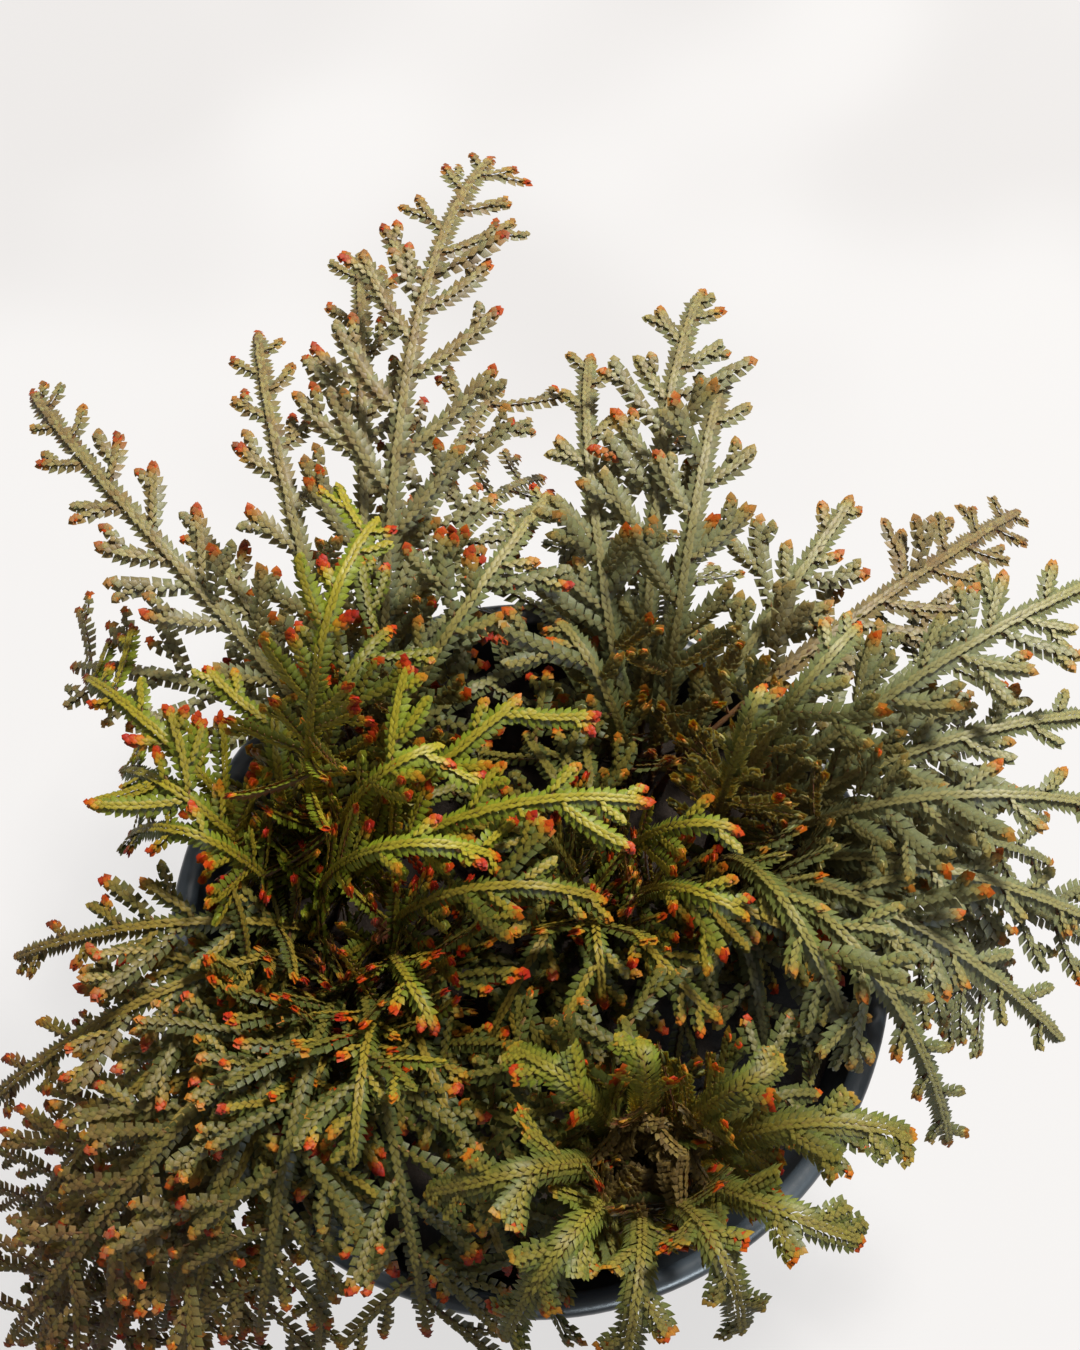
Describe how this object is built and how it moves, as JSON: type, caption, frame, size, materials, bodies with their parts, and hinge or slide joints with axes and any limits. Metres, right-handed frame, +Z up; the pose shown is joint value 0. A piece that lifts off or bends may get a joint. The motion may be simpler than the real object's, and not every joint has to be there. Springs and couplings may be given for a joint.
{
  "type": "potted spikemoss clump",
  "caption": "Dense clump of ruby-tipped spikemoss, flat forking leafy fronds arching out of a round dark plastic nursery pot of soil.",
  "frame": {"origin": "centre of the pot's flat underside", "axes": "+Z up along the pot's axis, +Y towards the clump's longest shoots, +X to their right"},
  "size_m": [0.1616, 0.1833, 0.132],
  "materials": {
    "pot_plastic": "semi-gloss moulded plastic, dark slate grey, lightly scuffed, with a rounded lip",
    "soil": "dark crumbly potting soil of peat and bark, matt and moist",
    "frond": "overlapping scale leaves, yellow-green to olive with orange and crimson tips, soft satin sheen"
  },
  "bodies": {
    "root": {"back_frond_1": "frond", "back_frond_2": "frond", "back_frond_3": "frond", "back_frond_4": "frond", "back_frond_5": "frond", "back_frond_6": "frond", "front_frond_1": "frond", "front_frond_2": "frond", "front_frond_3": "frond", "front_frond_4": "frond", "front_frond_5": "frond", "front_frond_6": "frond", "front_frond_7": "frond", "front_frond_8": "frond", "front_frond_9": "frond", "left_frond_1": "frond", "left_frond_2": "frond", "left_frond_3": "frond", "left_frond_4": "frond", "left_frond_5": "frond", "left_frond_6": "frond", "left_frond_7": "frond", "left_frond_8": "frond", "left_frond_9": "frond", "middle_frond_1": "frond", "middle_frond_2": "frond", "middle_frond_3": "frond", "middle_frond_4": "frond", "middle_frond_5": "frond", "middle_frond_6": "frond", "middle_frond_7": "frond", "near_frond_1": "frond", "near_frond_10": "frond", "near_frond_11": "frond", "near_frond_12": "frond", "near_frond_2": "frond", "near_frond_3": "frond", "near_frond_4": "frond", "near_frond_5": "frond", "near_frond_6": "frond", "near_frond_7": "frond", "near_frond_8": "frond", "near_frond_9": "frond", "pot": "pot_plastic", "potting_soil": "soil", "rear_frond_1": "frond", "rear_frond_2": "frond", "rear_frond_3": "frond", "rear_frond_4": "frond", "rear_frond_5": "frond", "rear_frond_6": "frond", "right_frond_1": "frond", "right_frond_2": "frond", "right_frond_3": "frond", "right_frond_4": "frond", "right_frond_5": "frond", "right_frond_6": "frond", "right_frond_7": "frond", "right_frond_8": "frond", "right_frond_9": "frond"}
  },
  "joints": []
}
